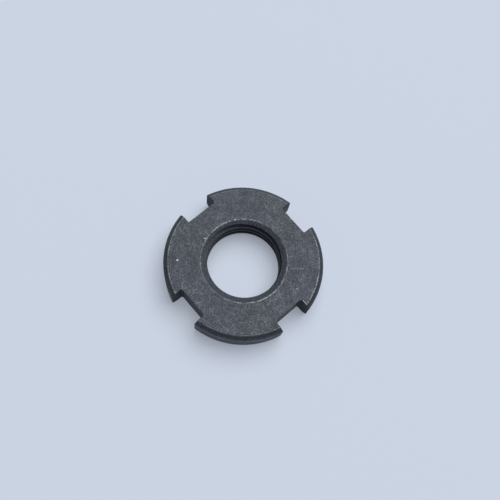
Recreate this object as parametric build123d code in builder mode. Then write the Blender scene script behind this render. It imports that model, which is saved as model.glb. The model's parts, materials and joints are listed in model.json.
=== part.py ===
from build123d import *
import os

# A slotted round nut for a fine M16 x 1.5 thread, turned from bar as one piece
# and blackened.  It is a flat ring: four slots milled across its rim take the
# hooks of a hook spanner, or the outer tabs of a lock washer, and its two faces
# are alike.
#
# Frame: millimetres, +Z along the thread's axis.  The origin is the middle of
# the lower face, and the slots lie on +X, +Y, -X and -Y.

# The ring
outer_diameter = 32.0
thickness = 6.0
rim_chamfer = 0.9           # 45 degrees, between each face and the rim

# The bore, left plain at the crests of the thread
thread_diameter = 16.0      # at the roots of the thread
crest_height = 0.66         # how far the crests stand in from the roots
countersink_margin = 0.7    # how far each countersink opens past the roots
countersink_depth = 1.1

# The spanner slots
slot_count = 4
slot_width = 6.7
slot_depth = 2.8            # from the rim in to the slot's flat floor
slot_corner_radius = 0.3    # left by the cutter along both sides of the floor
slot_edge_break = 0.15      # deburring of the slots' edges on both faces

outer_radius = outer_diameter / 2
face_radius = outer_radius - rim_chamfer
root_radius = thread_diameter / 2
crest_radius = root_radius - crest_height
countersink_radius = root_radius + countersink_margin
slot_floor_radius = outer_radius - slot_depth

with BuildPart() as castle_nut:
    # Half of the ring's section, from the bore outwards, turned round the axis
    with BuildSketch(Plane.XZ):
        with BuildLine():
            Polyline(
                (crest_radius, countersink_depth),
                (countersink_radius, 0),
                (face_radius, 0),
                (outer_radius, rim_chamfer),
                (outer_radius, thickness - rim_chamfer),
                (face_radius, thickness),
                (countersink_radius, thickness),
                (crest_radius, thickness - countersink_depth),
                close=True,
            )
        make_face()
    revolve(axis=Axis.Z)

    # The slots are straight cuts through the rim, one cutter shape repeated
    # round the axis.  It runs out past the rim, so only its inner corners,
    # along the slot's floor, round anything.
    with BuildSketch():
        with PolarLocations(slot_floor_radius, slot_count):
            RectangleRounded(
                2 * slot_depth,
                slot_width,
                slot_corner_radius,
                align=(Align.MIN, Align.CENTER),
            )
    extrude(amount=thickness, mode=Mode.SUBTRACT)

    # The slots' edges on the two faces, which are the faces' only edges that
    # aren't circles round the axis
    faces_flat = castle_nut.faces().filter_by(Plane.XY)
    slot_edges = [
        edge
        for edge in faces_flat.edges()
        if edge.geom_type == GeomType.LINE or edge.radius < slot_depth
    ]
    chamfer(slot_edges, slot_edge_break)

castle_nut.part.label = "castle_nut"

os.makedirs("parts", exist_ok=True)
export_step(castle_nut.part, "parts/castle_nut.step")
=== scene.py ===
import json
import math

import bmesh
import bpy
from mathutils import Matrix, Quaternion, Vector


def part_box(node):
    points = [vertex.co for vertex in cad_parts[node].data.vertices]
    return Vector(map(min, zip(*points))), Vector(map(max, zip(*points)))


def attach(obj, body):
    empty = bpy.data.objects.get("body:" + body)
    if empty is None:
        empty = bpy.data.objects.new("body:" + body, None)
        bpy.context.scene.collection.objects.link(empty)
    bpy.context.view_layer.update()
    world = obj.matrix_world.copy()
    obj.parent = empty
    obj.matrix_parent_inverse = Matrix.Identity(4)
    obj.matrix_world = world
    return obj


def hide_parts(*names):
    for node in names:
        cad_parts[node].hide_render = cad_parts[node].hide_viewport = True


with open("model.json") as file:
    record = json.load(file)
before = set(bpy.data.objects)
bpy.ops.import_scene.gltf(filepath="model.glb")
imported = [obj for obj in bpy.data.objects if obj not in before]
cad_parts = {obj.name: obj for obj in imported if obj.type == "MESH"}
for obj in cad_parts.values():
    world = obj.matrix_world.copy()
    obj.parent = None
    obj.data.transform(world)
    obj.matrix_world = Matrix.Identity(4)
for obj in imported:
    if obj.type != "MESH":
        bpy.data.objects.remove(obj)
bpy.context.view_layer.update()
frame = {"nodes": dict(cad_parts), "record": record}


# The nut: a flat ring turned from free-cutting steel bar, with a chamfer round
# each face and a countersink at each end of the bore.  Four slots for a hook
# spanner are milled through the rim, and the bore is tapped M16 x 1.5.
MM = 0.001
nut_node = frame["nodes"]["castle_nut"]
thread_mount = next(m for m in frame["record"]["mounts"] if m["name"] == "thread")
nut_low, nut_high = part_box("castle_nut")
thickness = nut_high.z - nut_low.z
outer_radius = max(v.co.xy.length for v in nut_node.data.vertices)
crest_radius = thread_mount["dims"]["r_mm"] * MM
countersink_depth = (thickness - thread_mount["dims"]["length_mm"] * MM) / 2

rim_chamfer = 0.9 * MM
face_radius = outer_radius - rim_chamfer
countersink_radius = 8.7 * MM
turned_edge_radius = 0.1 * MM
turning_steps = 160
merge_distance = 0.0001 * MM

slot_depth = 2.8 * MM
slot_sizes = {
    "Slot Count": 4,
    "Slot Width": 6.7 * MM,
    "Floor Radius": outer_radius - slot_depth,
    "Corner Radius": 0.3 * MM,
    "Cutter Reach": 6 * MM,
    "Thickness": thickness,
}
slot_edge_radius = 0.15 * MM
slot_edge_angle = math.radians(50)

# A 60 degree groove, an eighth of the pitch wide at the thread's roots, which
# runs in from below the lower face and out past the upper one
pitch = 1.5 * MM
root_radius = 8 * MM
groove_depth = 1 * MM
flank_angle = math.radians(30)
root_width = pitch / 8
lead_in = 1.95 * pitch
thread_sizes = {
    "Pitch": pitch,
    "Turns": 8.0,
    "Middle Radius": root_radius - groove_depth / 2,
    "Groove Depth": groove_depth,
    "Root Width": root_width,
    "Mouth Width": root_width + 2 * groove_depth * math.tan(flank_angle),
    "Start": nut_low.z - lead_in,
}


def rounded(corners, radius, steps=3):
    """The closed outline through the corners, each turned by a small arc."""
    outline = []
    for i, corner in enumerate(corners):
        back = (corners[i - 1] - corner).normalized()
        ahead = (corners[(i + 1) % len(corners)] - corner).normalized()
        half_angle = back.angle(ahead) / 2
        centre = corner + (back + ahead).normalized() * radius / math.sin(half_angle)
        start = (corner + back * radius / math.tan(half_angle) - centre).normalized()
        end = (corner + ahead * radius / math.tan(half_angle) - centre).normalized()
        outline += [centre + radius * start.slerp(end, k / steps) for k in range(steps + 1)]
    return outline


def add(tree, kind, inputs=(), **settings):
    """Adds a node with its settings, and fills its inputs with values or links."""
    node = tree.nodes.new(kind)
    for name, value in settings.items():
        setattr(node, name, value)
    for key, value in dict(inputs).items():
        if isinstance(value, bpy.types.NodeSocket):
            tree.links.new(value, node.inputs[key])
        else:
            node.inputs[key].default_value = value
    return node


def mesh_tree(name, sizes):
    """A Geometry Nodes tree from mesh to mesh, with a named input for each size."""
    tree = bpy.data.node_groups.new(name, "GeometryNodeTree")
    tree.interface.new_socket("Mesh", in_out="INPUT", socket_type="NodeSocketGeometry")
    tree.interface.new_socket("Mesh", in_out="OUTPUT", socket_type="NodeSocketGeometry")
    for label, value in sizes.items():
        kind = "NodeSocketInt" if isinstance(value, int) else "NodeSocketFloat"
        tree.interface.new_socket(label, in_out="INPUT", socket_type=kind)
    return tree, tree.nodes.new("NodeGroupInput").outputs


def end_tree(tree, mesh, material):
    """Ends a tree with one plain mesh, all in the material."""
    mesh = add(tree, "GeometryNodeRealizeInstances", {"Geometry": mesh})
    mesh = add(tree, "GeometryNodeSetMaterial",
               {"Geometry": mesh.outputs[0], "Material": material})
    add(tree, "NodeGroupOutput", {0: mesh.outputs[0]})


def run_tree(piece, tree, sizes):
    """Gives the piece the tree as a modifier, with its inputs set to the sizes."""
    modifier = piece.modifiers.new(tree.name, "NODES")
    modifier.node_group = tree
    for socket in tree.interface.items_tree:
        if socket.name in sizes:
            modifier[socket.identifier] = sizes[socket.name]


oxide = bpy.data.materials.new("black_oxide_steel")
oxide.use_nodes = True

# Turning: half of the section, from the bore outwards, is spun round the axis
section = rounded(
    [
        Vector((crest_radius, countersink_depth)),
        Vector((countersink_radius, 0)),
        Vector((face_radius, 0)),
        Vector((outer_radius, rim_chamfer)),
        Vector((outer_radius, thickness - rim_chamfer)),
        Vector((face_radius, thickness)),
        Vector((countersink_radius, thickness)),
        Vector((crest_radius, thickness - countersink_depth)),
    ],
    turned_edge_radius,
)
blank = bmesh.new()
ring = [blank.verts.new((r, 0, nut_low.z + z)) for r, z in section]
edges = [blank.edges.new((ring[i - 1], ring[i])) for i in range(len(ring))]
bmesh.ops.spin(blank, geom=ring + edges, cent=(0, 0, 0), axis=(0, 0, 1),
               angle=2 * math.pi, steps=turning_steps, use_merge=True)
bmesh.ops.remove_doubles(blank, verts=blank.verts, dist=merge_distance)
bmesh.ops.recalc_face_normals(blank, faces=blank.faces)
blank_mesh = bpy.data.meshes.new("nut_blank")
blank.to_mesh(blank_mesh)
blank.free()
nut = bpy.data.objects.new("slotted_nut", blank_mesh)
bpy.context.scene.collection.objects.link(nut)

# Milling: one rounded cutter, set out at the slot's floor, is copied round the
# axis and taken out of the ring
milling, size = mesh_tree("mill_slots", slot_sizes)
outline = add(milling, "GeometryNodeCurvePrimitiveQuadrilateral",
              {"Width": size["Cutter Reach"], "Height": size["Slot Width"]})
outline = add(milling, "GeometryNodeFilletCurve",
              {"Curve": outline.outputs[0], "Count": 4, "Radius": size["Corner Radius"]},
              mode="POLY")
below = add(milling, "ShaderNodeCombineXYZ",
            {"Z": add(milling, "ShaderNodeMath", {0: 0.0, 1: size["Thickness"]},
                      operation="SUBTRACT").outputs[0]})
above = add(milling, "ShaderNodeCombineXYZ",
            {"Z": add(milling, "ShaderNodeMath", {0: size["Thickness"], 1: 2.0},
                      operation="MULTIPLY").outputs[0]})
feed = add(milling, "GeometryNodeCurvePrimitiveLine",
           {"Start": below.outputs[0], "End": above.outputs[0]})
cutter = add(milling, "GeometryNodeCurveToMesh",
             {"Curve": feed.outputs[0], "Profile Curve": outline.outputs[0],
              "Fill Caps": True})
middle = add(milling, "ShaderNodeMath",
             {0: size["Cutter Reach"], 1: 0.5, 2: size["Floor Radius"]},
             operation="MULTIPLY_ADD")
set_out = add(milling, "ShaderNodeCombineXYZ", {"X": middle.outputs[0]})
cutter = add(milling, "GeometryNodeTransform",
             {"Geometry": cutter.outputs[0], "Translation": set_out.outputs[0]})
step = add(milling, "ShaderNodeMath", {0: 2 * math.pi, 1: size["Slot Count"]},
           operation="DIVIDE")
turn = add(milling, "ShaderNodeMath",
           {0: step.outputs[0], 1: add(milling, "GeometryNodeInputIndex").outputs[0]},
           operation="MULTIPLY")
facing = add(milling, "ShaderNodeCombineXYZ", {"Z": turn.outputs[0]})
cutters = add(milling, "GeometryNodeInstanceOnPoints",
              {"Points": add(milling, "GeometryNodePoints",
                             {"Count": size["Slot Count"]}).outputs[0],
               "Instance": cutter.outputs[0], "Rotation": facing.outputs[0]})
cutters = add(milling, "GeometryNodeRealizeInstances", {"Geometry": cutters.outputs[0]})
milled = add(milling, "GeometryNodeMeshBoolean",
             {"Mesh 1": size["Mesh"], "Mesh 2": cutters.outputs[0]},
             operation="DIFFERENCE", solver="EXACT")
end_tree(milling, milled.outputs[0], oxide)
run_tree(nut, milling, slot_sizes)

# Deburring: only the slots' edges turn by more than the turned arcs do
deburred = nut.modifiers.new("deburred", "BEVEL")
deburred.width = slot_edge_radius
deburred.segments = 3
deburred.limit_method = "ANGLE"
deburred.angle_limit = slot_edge_angle
deburred.use_clamp_overlap = False

# Tapping: the thread's groove follows a right-handed helix up through the bore
tapping, size = mesh_tree("tap_bore", thread_sizes)
height = add(tapping, "ShaderNodeMath", {0: size["Pitch"], 1: size["Turns"]},
             operation="MULTIPLY")
helix = add(tapping, "GeometryNodeCurveSpiral",
            {"Resolution": turning_steps, "Rotations": size["Turns"],
             "Start Radius": size["Middle Radius"], "End Radius": size["Middle Radius"],
             "Height": height.outputs[0], "Reverse": True})
lowest = add(tapping, "ShaderNodeCombineXYZ", {"Z": size["Start"]})
helix = add(tapping, "GeometryNodeTransform",
            {"Geometry": helix.outputs[0], "Translation": lowest.outputs[0]})
helix = add(tapping, "GeometryNodeSetCurveNormal", {"Curve": helix.outputs[0]}, mode="Z_UP")
groove = add(tapping, "GeometryNodeCurvePrimitiveQuadrilateral",
             {"Height": size["Groove Depth"], "Bottom Width": size["Mouth Width"],
              "Top Width": size["Root Width"], "Offset": 0.0}, mode="TRAPEZOID")
groove = add(tapping, "GeometryNodeTransform",
             {"Geometry": groove.outputs[0], "Rotation": (0, 0, -math.pi / 2)})
tap = add(tapping, "GeometryNodeCurveToMesh",
          {"Curve": helix.outputs[0], "Profile Curve": groove.outputs[0],
           "Fill Caps": True})
tapped = add(tapping, "GeometryNodeMeshBoolean",
             {"Mesh 1": size["Mesh"], "Mesh 2": tap.outputs[0]},
             operation="DIFFERENCE", solver="EXACT")
end_tree(tapping, tapped.outputs[0], oxide)
run_tree(nut, tapping, thread_sizes)


# Turned and milled faces shade smoothly up to their true corners
crisp_angle = math.radians(35)
finished = bpy.data.meshes.new_from_object(
    nut.evaluated_get(bpy.context.evaluated_depsgraph_get()))
nut.modifiers.clear()
nut.data = finished
finished.name = "slotted_nut"
finished.shade_smooth()
finished.set_sharp_from_angle(angle=crisp_angle)
weighted = nut.modifiers.new("weighted", "WEIGHTED_NORMAL")
weighted.keep_sharp = True
finished = bpy.data.meshes.new_from_object(
    nut.evaluated_get(bpy.context.evaluated_depsgraph_get()))
nut.modifiers.clear()
nut.data = finished


def linear(hex_colour):
    """Turns an sRGB hex colour to linear RGBA."""
    parts = [int(hex_colour[i:i + 2], 16) / 255 for i in (1, 3, 5)]
    return [c / 12.92 if c <= 0.04045 else ((c + 0.055) / 1.055) ** 2.4 for c in parts] + [1.0]


# Black oxide on turned steel: the hot salt bath leaves a thin matt magnetite
# skin, so the nut looks dark grey with a soft sheen and keeps the fine grain of
# the steel.  It is rubbed paler in patches, and worn to grey steel along edges.
tree = oxide.node_tree
tree.nodes.clear()

# The place on the nut in millimetres, and how far it is from each kind of face
place = add(tree, "ShaderNodeTexCoord").outputs["Object"]
place = add(tree, "ShaderNodeVectorMath", {0: place, "Scale": 1 / MM},
            operation="SCALE").outputs[0]
axes = add(tree, "ShaderNodeSeparateXYZ", {0: place}).outputs
flat = add(tree, "ShaderNodeVectorMath", {0: place, 1: (1, 1, 0)}, operation="MULTIPLY")
radius = add(tree, "ShaderNodeVectorMath", {0: flat.outputs[0]},
             operation="LENGTH").outputs["Value"]
half_thickness = thickness / 2 / MM
level = add(tree, "ShaderNodeMath", {0: axes[2], 1: half_thickness},
            operation="SUBTRACT").outputs[0]
level = add(tree, "ShaderNodeMath", {0: level}, operation="ABSOLUTE").outputs[0]

to_face = add(tree, "ShaderNodeMath", {0: half_thickness, 1: level},
              operation="SUBTRACT").outputs[0]
to_rim = add(tree, "ShaderNodeMath", {0: outer_radius / MM, 1: radius},
             operation="SUBTRACT").outputs[0]
to_chamfer = add(tree, "ShaderNodeMath", {0: to_face, 1: to_rim}, operation="ADD").outputs[0]
to_chamfer = add(tree, "ShaderNodeMath",
                 {0: to_chamfer, 1: math.sqrt(0.5), 2: -rim_chamfer / MM * math.sqrt(0.5)},
                 operation="MULTIPLY_ADD").outputs[0]
cone = Vector((countersink_depth, countersink_radius - crest_radius)).normalized()
to_cone = add(tree, "ShaderNodeMath",
              {0: radius, 1: cone.x, 2: -countersink_radius / MM * cone.x},
              operation="MULTIPLY_ADD").outputs[0]
to_cone = add(tree, "ShaderNodeMath", {0: to_face, 1: cone.y, 2: to_cone},
              operation="MULTIPLY_ADD").outputs[0]
across = add(tree, "ShaderNodeMath", {0: axes[0]}, operation="ABSOLUTE").outputs[0]
along = add(tree, "ShaderNodeMath", {0: axes[1]}, operation="ABSOLUTE").outputs[0]
nearer = add(tree, "ShaderNodeMath", {0: across, 1: along}, operation="MINIMUM").outputs[0]
farther = add(tree, "ShaderNodeMath", {0: across, 1: along}, operation="MAXIMUM").outputs[0]
to_wall = add(tree, "ShaderNodeMath", {0: nearer, 1: slot_sizes["Slot Width"] / 2 / MM},
              operation="SUBTRACT").outputs[0]
to_floor = add(tree, "ShaderNodeMath", {0: slot_sizes["Floor Radius"] / MM, 1: farther},
               operation="SUBTRACT").outputs[0]
to_slot = add(tree, "ShaderNodeMath", {0: to_wall, 1: to_floor},
              operation="MAXIMUM").outputs[0]

# Noise in millimetres, from broad patches and ragged edges to the grain and pits.
# The real pits are finer, and are drawn as coarse as they need to be to show
noise = {}
for name, spacing, detail in (("tint", 9.0, 1.0), ("rubbing", 3.2, 3.0), ("edge", 0.9, 3.0),
                              ("grain", 0.30, 2.0), ("pits", 0.12, 1.0)):
    shifted = add(tree, "ShaderNodeVectorMath", {0: place, 1: (spacing, 7 * spacing, 0)},
                  operation="ADD")
    noise[name] = add(tree, "ShaderNodeTexNoise",
                      {"Vector": shifted.outputs[0], "Scale": 1 / spacing,
                       "Detail": detail}).outputs[0]

# Wear along the edges, each with the faces that meet there, how far the wear
# reaches, how bare it is at most, and the diameter that it has been rubbed along
worn = None
on_cone = add(tree, "ShaderNodeMath", {0: to_cone, 1: 2.5}, operation="MULTIPLY").outputs[0]
heading = add(tree, "ShaderNodeVectorMath", {0: flat.outputs[0]}, operation="NORMALIZE")
for face, others, reach, barest, diameter in (
    (on_cone, (to_face,), 0.20, 0.80, -6),
    (to_chamfer, (to_face,), 0.12, 0.60, 40),
    (to_chamfer, (to_rim,), 0.12, 0.45, -60),
    (to_slot, (to_face, to_chamfer, to_rim), 0.12, 0.25, 25),
):
    nearest = others[0]
    for gap in others[1:]:
        nearest = add(tree, "ShaderNodeMath", {0: nearest, 1: gap},
                      operation="MINIMUM").outputs[0]
    edge = add(tree, "ShaderNodeMath", {0: face, 1: nearest},
               operation="MAXIMUM").outputs[0]
    band = add(tree, "ShaderNodeMapRange",
               {"Value": edge, "From Min": reach, "From Max": reach / 3,
                "To Max": barest}).outputs[0]
    angle = math.radians(diameter)
    aligned = add(tree, "ShaderNodeVectorMath",
                  {0: heading.outputs[0], 1: (math.cos(angle), math.sin(angle), 0)},
                  operation="DOT_PRODUCT").outputs["Value"]
    aligned = add(tree, "ShaderNodeMath", {0: aligned}, operation="ABSOLUTE").outputs[0]
    sided = add(tree, "ShaderNodeMapRange",
                {"Value": aligned, "From Min": 0.3, "From Max": 0.95,
                 "To Min": 0.30}).outputs[0]
    band = add(tree, "ShaderNodeMath", {0: band, 1: sided}, operation="MULTIPLY").outputs[0]
    worn = band if worn is None else add(
        tree, "ShaderNodeMath", {0: worn, 1: band}, operation="MAXIMUM").outputs[0]
ragged = add(tree, "ShaderNodeMapRange",
             {"Value": noise["edge"], "From Min": 0.36, "From Max": 0.60,
              "To Min": 0.20}).outputs[0]
chipped = add(tree, "ShaderNodeMapRange",
              {"Value": noise["grain"], "From Min": 0.36, "From Max": 0.60,
               "To Min": 0.25}).outputs[0]
worn = add(tree, "ShaderNodeMath", {0: worn, 1: ragged}, operation="MULTIPLY").outputs[0]
worn = add(tree, "ShaderNodeMath", {0: worn, 1: chipped}, operation="MULTIPLY").outputs[0]

# Handling scratches: fine, short and in every direction, and thickest where the
# upper face is rubbed, beside the -Y slot, beside the bore and near the rim.
# Each direction reads the noise at a place of its own
top = thickness / MM
rubbed = add(tree, "ShaderNodeMapRange",
             {"Value": noise["rubbing"], "From Min": 0.40, "From Max": 0.66,
              "To Max": 0.35}).outputs[0]
for centre, reach, most in (
    ((-1, -12, top), 4.5, 0.6),
    ((9.8, -1, top), 2.6, 1.0),
    ((-12, -7, top), 4.0, 0.6),
    ((-5, 11, top), 4.0, 0.3),
):
    away = add(tree, "ShaderNodeVectorMath", {0: place, 1: centre}, operation="DISTANCE")
    patch = add(tree, "ShaderNodeMapRange",
                {"Value": away.outputs["Value"], "From Min": reach, "From Max": 0.0,
                 "To Max": most}, interpolation_type="SMOOTHSTEP").outputs[0]
    rubbed = add(tree, "ShaderNodeMath", {0: rubbed, 1: patch}, operation="ADD").outputs[0]
scratch_width = 0.11
scratches = None
for angle, length in ((8, 1.9), (37, 1.3), (71, 1.6), (103, 1.2), (134, 2.0), (158, 1.4)):
    combed = add(tree, "ShaderNodeMapping",
                 {"Vector": place, "Location": (angle, length, 0),
                  "Rotation": (0, 0, math.radians(angle)),
                  "Scale": (length, scratch_width, 2 * scratch_width)},
                 vector_type="TEXTURE")
    hairs = add(tree, "ShaderNodeTexNoise",
                {"Vector": combed.outputs[0], "Scale": 1.0, "Detail": 1.0})
    hairs = add(tree, "ShaderNodeMapRange",
                {"Value": hairs.outputs[0], "From Min": 0.62, "From Max": 0.74}).outputs[0]
    scratches = hairs if scratches is None else add(
        tree, "ShaderNodeMath", {0: scratches, 1: hairs}, operation="MAXIMUM").outputs[0]
scratched = add(tree, "ShaderNodeMapRange",
                {"Value": rubbed, "To Min": 0.45, "To Max": 1.0}).outputs[0]
scratched = add(tree, "ShaderNodeMath", {0: scratches, 1: scratched},
                operation="MULTIPLY").outputs[0]

# Single marks on the upper face: three small chips, one long scratch, a nick
# beside the bore and one along the +X slot
for start, end, width in (
    ((-8.5, -10.2, top), (-8.4, -10.1, top), 0.15),
    ((11.0, 4.1, top), (11.1, 4.2, top), 0.08),
    ((12.0, -5.0, top), (12.1, -5.1, top), 0.08),
    ((7.3, 6.0, top), (9.0, 8.0, top), 0.06),
    ((-8.6, -3.2, top), (-8.0, -2.5, top), 0.10),
    ((13.6, 3.5, top), (14.6, 3.5, top), 0.09),
):
    run = Vector(end) - Vector(start)
    offset = add(tree, "ShaderNodeVectorMath", {0: place, 1: start}, operation="SUBTRACT")
    part_way = add(tree, "ShaderNodeVectorMath",
                   {0: offset.outputs[0], 1: run / run.length_squared},
                   operation="DOT_PRODUCT")
    part_way = add(tree, "ShaderNodeClamp", {"Value": part_way.outputs["Value"]})
    foot = add(tree, "ShaderNodeVectorMath", {0: run, "Scale": part_way.outputs[0]},
               operation="SCALE")
    away = add(tree, "ShaderNodeVectorMath", {0: offset.outputs[0], 1: foot.outputs[0]},
               operation="DISTANCE")
    mark = add(tree, "ShaderNodeMapRange",
               {"Value": away.outputs["Value"], "From Min": width, "From Max": width / 2,
                "To Max": 5 * width}).outputs[0]
    worn = add(tree, "ShaderNodeMath", {0: worn, 1: mark}, operation="MAXIMUM").outputs[0]

# Turning marks: fine rings left by the tool, by radius on the faces and by height
# on the walls, all but hidden under the oxide
feed_spacing = 0.22
height_share = 1.7
travel = add(tree, "ShaderNodeMath", {0: level, 1: height_share, 2: radius},
             operation="MULTIPLY_ADD")
turning = add(tree, "ShaderNodeTexNoise",
              {"W": travel.outputs[0], "Scale": 1 / feed_spacing, "Detail": 1.0},
              noise_dimensions="1D").outputs[0]

# Colour: two casts of the oxide, its grain and the scratches.  The thread, the slots'
# walls and the chamfers get painted shade, so they are darker
oxide_blue = linear("#2b2d35")
oxide_green = linear("#292e32")
grain_grey = linear("#62666d")
scratch_grey = linear("#878f98")
painted_shade_black = linear("#0a0d14")
bare_steel = linear("#b0b3b4")
cast = add(tree, "ShaderNodeMapRange",
           {"Value": noise["tint"], "From Min": 0.4, "From Max": 0.6}).outputs[0]
colour = add(tree, "ShaderNodeMix",
             {0: cast, 6: oxide_blue, 7: oxide_green}, data_type="RGBA").outputs[2]
speckle = add(tree, "ShaderNodeMath", {0: turning, 1: 0.35, 2: noise["grain"]},
              operation="MULTIPLY_ADD").outputs[0]
speckle = add(tree, "ShaderNodeMapRange",
              {"Value": speckle, "From Min": 0.48, "From Max": 0.88,
               "To Max": 0.42}).outputs[0]
colour = add(tree, "ShaderNodeMix",
             {0: speckle, 6: colour, 7: grain_grey}, data_type="RGBA").outputs[2]
pale = add(tree, "ShaderNodeMath", {0: scratched, 1: 0.5}, operation="MULTIPLY").outputs[0]
colour = add(tree, "ShaderNodeMix",
             {0: pale, 6: colour, 7: scratch_grey}, data_type="RGBA").outputs[2]
# Painted shade in the bore: the thread is painted darker, and darker still deep in its grooves
bore_margin = 0.2
thread_shade = add(tree, "ShaderNodeMath", {0: radius, 1: root_radius / MM + bore_margin},
              operation="LESS_THAN").outputs[0]
threaded = add(tree, "ShaderNodeMapRange",
               {"Value": to_cone, "From Min": 0.03, "From Max": 0.2}).outputs[0]
groove_shade = add(tree, "ShaderNodeMapRange",
              {"Value": radius, "From Min": crest_radius / MM + 0.03,
               "From Max": crest_radius / MM + 0.15, "To Min": 0.45,
               "To Max": 0.95}).outputs[0]
thread_shade = add(tree, "ShaderNodeMath", {0: thread_shade, 1: threaded},
              operation="MULTIPLY").outputs[0]
thread_shade = add(tree, "ShaderNodeMath", {0: thread_shade, 1: groove_shade},
              operation="MULTIPLY").outputs[0]
# Painted shade on the slots' walls and the chamfers, faded out near the faces
on_surface = {"From Min": 0.06, "From Max": 0.02}
wall_shade = add(tree, "ShaderNodeMapRange",
              {"Value": to_slot, **on_surface, "To Max": 0.85}).outputs[0]
chamfer_shade = add(tree, "ShaderNodeMapRange",
                 {"Value": to_chamfer, **on_surface, "To Max": 0.25}).outputs[0]
wall_and_chamfer_shade = add(tree, "ShaderNodeMath", {0: wall_shade, 1: chamfer_shade},
               operation="MAXIMUM").outputs[0]
under_face = add(tree, "ShaderNodeMapRange",
                 {"Value": to_face, "From Min": 0.05, "From Max": 0.25}).outputs[0]
wall_and_chamfer_shade = add(tree, "ShaderNodeMath", {0: wall_and_chamfer_shade, 1: under_face},
               operation="MULTIPLY").outputs[0]
# Painted shade: the thread, the slots' walls and the chamfers are mixed toward near-black
painted_shade = add(tree, "ShaderNodeMath", {0: thread_shade, 1: wall_and_chamfer_shade},
              operation="MAXIMUM").outputs[0]
colour = add(tree, "ShaderNodeMix",
             {0: painted_shade, 6: colour, 7: painted_shade_black}, data_type="RGBA").outputs[2]
colour = add(tree, "ShaderNodeMix",
             {0: worn, 6: colour, 7: bare_steel}, data_type="RGBA").outputs[2]

# The oxide is dull and hardly metallic, and the steel that shows through is both
# brighter and smoother
bare = add(tree, "ShaderNodeMath", {0: worn, 1: pale}, operation="MAXIMUM").outputs[0]
metallic = add(tree, "ShaderNodeMapRange",
               {"Value": bare, "To Min": 0.1, "To Max": 1.0}).outputs[0]
roughness = add(tree, "ShaderNodeMapRange",
                {"Value": noise["rubbing"], "From Min": 0.3, "From Max": 0.7,
                 "To Min": 0.60, "To Max": 0.48}).outputs[0]
roughness = add(tree, "ShaderNodeMath", {0: bare, 1: -0.15, 2: roughness},
                operation="MULTIPLY_ADD").outputs[0]

# Relief: pitted grain a few hundredths deep, with the scratches cut into it
relief = add(tree, "ShaderNodeMath", {0: noise["pits"], 1: 0.6, 2: noise["grain"]},
             operation="MULTIPLY_ADD").outputs[0]
relief = add(tree, "ShaderNodeMath", {0: turning, 1: 0.5, 2: relief},
             operation="MULTIPLY_ADD").outputs[0]
relief = add(tree, "ShaderNodeMath", {0: scratched, 1: -0.5, 2: relief},
             operation="MULTIPLY_ADD").outputs[0]
grain_depth = 0.02 * MM
bump = add(tree, "ShaderNodeBump",
           {"Strength": 0.6, "Distance": grain_depth, "Height": relief}).outputs[0]
skin = add(tree, "ShaderNodeBsdfPrincipled",
           {"Base Color": colour, "Metallic": metallic, "Roughness": roughness,
            "Specular IOR Level": 0.15, "Normal": bump})
add(tree, "ShaderNodeOutputMaterial", {"Surface": skin.outputs[0]})

# The trees leave an empty slot before the oxide's, so the slots are made again
finished.materials.clear()
finished.materials.append(oxide)

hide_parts("castle_nut")
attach(nut, "root")


def seen_directly(tree):
    """How far a ray looks straight at the background, or by way of metal or glass."""
    path = add(tree, "ShaderNodeLightPath").outputs
    seen = add(tree, "ShaderNodeMath",
               {0: path["Is Camera Ray"], 1: path["Is Glossy Ray"]}, operation="MAXIMUM")
    seen = add(tree, "ShaderNodeMath",
               {0: seen.outputs[0], 1: path["Is Transmission Ray"]}, operation="MAXIMUM")
    return seen.outputs[0]


# The floor: a sheet of plain pale paper, which glows a little where it is seen,
# so that the shadow on it stays light
floor_size = 4.0
floor_mesh = bpy.data.meshes.new("paper")
sheet = bmesh.new()
bmesh.ops.create_grid(sheet, x_segments=1, y_segments=1, size=floor_size / 2)
sheet.to_mesh(floor_mesh)
sheet.free()
floor = bpy.data.objects.new("paper", floor_mesh)
bpy.context.scene.collection.objects.link(floor)
paper_colour = linear("#c9d1df")
paper_glow = 0.40
paper = bpy.data.materials.new("matt_paper")
paper.use_nodes = True
tree = paper.node_tree
tree.nodes.clear()
glowing = add(tree, "ShaderNodeMath", {0: seen_directly(tree), 1: paper_glow},
              operation="MULTIPLY")
matt = add(tree, "ShaderNodeBsdfDiffuse", {"Color": paper_colour})
glow = add(tree, "ShaderNodeEmission", {"Color": paper_colour})
mixed = add(tree, "ShaderNodeMixShader",
            {0: glowing.outputs[0], 1: matt.outputs[0], 2: glow.outputs[0]})
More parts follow.
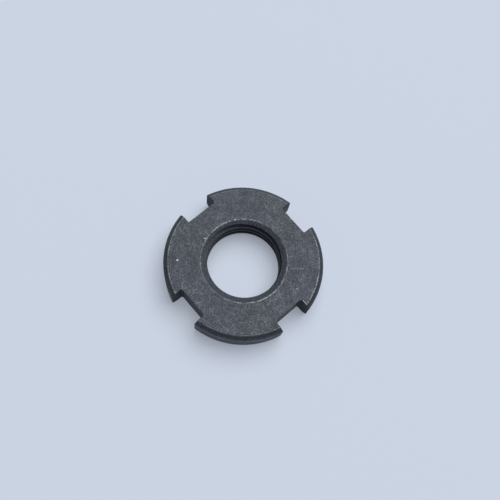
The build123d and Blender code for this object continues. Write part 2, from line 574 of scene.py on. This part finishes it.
add(tree, "ShaderNodeOutputMaterial", {"Surface": mixed.outputs[0]})
floor_mesh.materials.append(paper)


def direction(elevation, azimuth):
    """The unit vector at an elevation over the floor and an azimuth from +X to +Y."""
    return Vector((
        math.cos(elevation) * math.cos(azimuth),
        math.cos(elevation) * math.sin(azimuth),
        math.sin(elevation),
    ))


# Light: a dim even room, which what looks straight at it sees as pale, and a
# broad soft panel high on the +Y side
room_light = 0.23
room_seen = 1.0
world = bpy.data.worlds.new("room")
world.use_nodes = True
tree = world.node_tree
tree.nodes.clear()
strength = add(tree, "ShaderNodeMapRange",
               {"Value": seen_directly(tree), "To Min": room_light, "To Max": room_seen})
room = add(tree, "ShaderNodeBackground",
           {"Color": paper_colour, "Strength": strength.outputs[0]})
add(tree, "ShaderNodeOutputWorld", {"Surface": room.outputs[0]})
bpy.context.scene.world = world

panel_distance = 4.0
panel_diameter = 4.8
panel_watts = 216.0
to_panel = direction(elevation=math.radians(64), azimuth=math.radians(104))
panel = bpy.data.lights.new("panel", "AREA")
panel.shape = "DISK"
panel.size = panel_diameter
panel.energy = panel_watts
lamp = bpy.data.objects.new("panel", panel)
lamp.location = to_panel * panel_distance
lamp.rotation_euler = to_panel.to_track_quat("Z", "Y").to_euler()
bpy.context.scene.collection.objects.link(lamp)


# The camera looks steeply down on the nut, turned a little on its own axis
aim = Vector((-1.45, 3.08, 3.0)) * MM
camera_distance = 132.9 * MM
camera_roll = math.radians(13.7)
to_camera = direction(elevation=math.radians(71.84), azimuth=math.radians(-54.04))
lens = bpy.data.cameras.new("camera")
lens.sensor_width = 36.0
lens.lens = 46.84
lens.clip_start = 0.01
lens.clip_end = 10.0
camera = bpy.data.objects.new("camera", lens)
camera.location = aim + to_camera * camera_distance
tilt = to_camera.to_track_quat("Z", "Y") @ Quaternion((0, 0, 1), camera_roll)
camera.rotation_euler = tilt.to_euler()
bpy.context.scene.collection.objects.link(camera)
bpy.context.scene.camera = camera
bpy.context.scene.view_settings.view_transform = "Standard"
